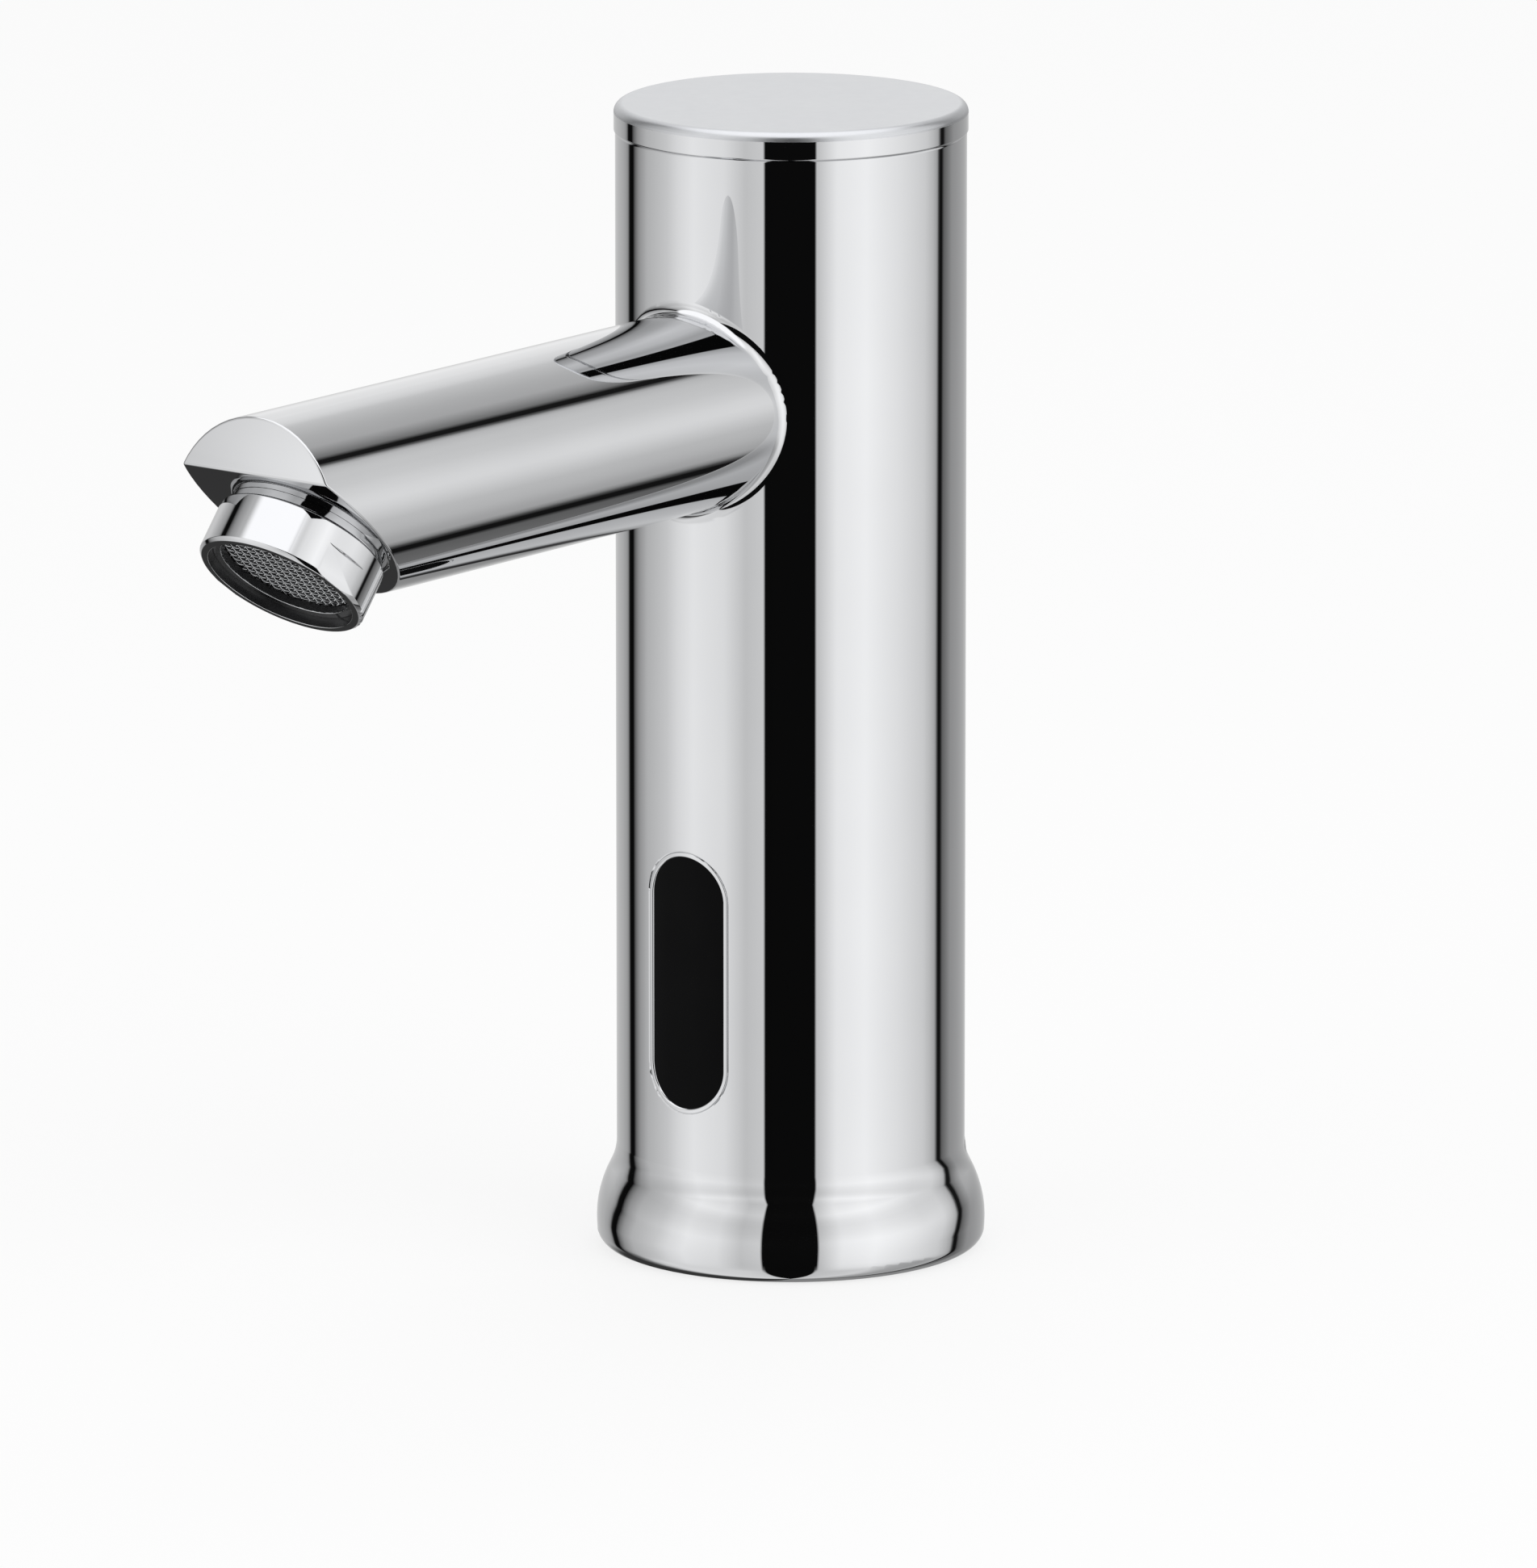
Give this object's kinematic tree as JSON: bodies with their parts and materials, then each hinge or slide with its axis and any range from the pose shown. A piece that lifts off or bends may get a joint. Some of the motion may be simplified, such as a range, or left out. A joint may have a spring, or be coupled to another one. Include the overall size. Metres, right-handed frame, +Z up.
{
  "type": "sensor tap",
  "caption": "Deck-mounted sensor tap: round column with a sensor window and screw-on lid, straight spout with a slanted tip and an aerator.",
  "frame": {"origin": "centre of the water inlet's mouth in the middle of the foot, on the deck's surface", "axes": "+Z up along the column, -Y along the spout towards the user, +X to the user's right"},
  "size_m": [0.0558, 0.1524, 0.166],
  "materials": {
    "chrome": "mirror",
    "satin_lid": "satin",
    "black_rubber": "matt",
    "white_plastic": "matt",
    "mesh_grey": "satin",
    "window_black": "gloss",
    "black_plastic": "matt",
    "board_green": "satin",
    "led_clear": "gloss",
    "led_dark": "gloss",
    "led_red": "gloss",
    "steel": "satin",
    "brass": "machined",
    "coil_tape": "satin",
    "magnet_grey": "matt",
    "lead_sheath": "matt",
    "cell_wrap": "gloss"
  },
  "bodies": {
    "tap_body": {"body_shell": "chrome", "window_gasket": "black_rubber", "diaphragm": "black_rubber", "base_gasket": "black_rubber", "outlet_adapter": "white_plastic", "riser_elbow": "white_plastic", "inlet_filter": "white_plastic", "board_connectors": "white_plastic", "window_lens": "window_black", "sensor_housing": "black_plastic", "battery_holder": "black_plastic", "battery_lid": "black_plastic", "valve_bonnet": "black_plastic", "coil_bobbin": "black_plastic", "sensor_board": "board_green", "ir_emitter": "led_clear", "ir_receiver": "led_dark", "status_led": "led_red", "inner_frame": "steel", "block_screws": "steel", "bonnet_screws": "steel", "frame_screws": "steel", "core_tube": "steel", "core_nut": "steel", "plunger_spring": "steel", "coil_frame": "steel", "riser_tube": "steel", "spout_tube": "steel", "battery_contacts": "steel", "valve_block": "brass", "riser_nut": "brass", "coil_winding": "coil_tape", "latch_magnet": "magnet_grey", "battery_lead": "lead_sheath", "solenoid_lead": "lead_sheath", "battery_cells": "cell_wrap"},
    "cap_lifter": {"cap_seal": "black_rubber"},
    "cap": {"top_cap": "satin_lid"},
    "aerator_carrier": {"aerator_washer": "black_rubber"},
    "aerator": {"aerator_housing": "chrome", "aerator_insert": "white_plastic", "aerator_screen": "mesh_grey"},
    "plunger": {"plunger": "steel", "plunger_pad": "black_rubber"},
    "pilot_disc": {"diaphragm_disc": "white_plastic"}
  },
  "joints": [
    {"name": "cap_lift", "type": "slide", "parent": "tap_body", "child": "cap_lifter", "axis": [0, 0, 1], "range_m": [0, 0.0075]},
    {"name": "cap_turn", "type": "hinge", "parent": "cap_lifter", "child": "cap", "pos_m": [0, 0, 0.162], "axis": [0, 0, 1], "range_deg": [0, 1800]},
    {"name": "aerator_drop", "type": "slide", "parent": "tap_body", "child": "aerator_carrier", "axis": [0, -0.6494, -0.7604], "range_m": [0, 0.008]},
    {"name": "aerator_turn", "type": "hinge", "parent": "aerator_carrier", "child": "aerator", "pos_m": [0, -0.10967, 0.12157], "axis": [0, -0.6494, -0.7604], "range_deg": [0, 2880]},
    {"name": "plunger_lift", "type": "slide", "parent": "tap_body", "child": "plunger", "axis": [0, 0, 1], "range_m": [0, 0.0018], "stiffness_N_per_m": 150, "springref_m": -0.01, "deforming": ["plunger_spring"]},
    {"name": "diaphragm_lift", "type": "slide", "parent": "tap_body", "child": "pilot_disc", "axis": [0, 0, 1], "range_m": [0, 0.0012], "deforming": ["diaphragm"]}
  ],
  "couplings": [
    {"joint": "cap_lift", "follows": "cap_turn", "m_per_rad": 0.00023873},
    {"joint": "aerator_drop", "follows": "aerator_turn", "m_per_rad": 0.00015915},
    {"joint": "diaphragm_lift", "follows": "plunger_lift", "ratio": 0.6666}
  ]
}
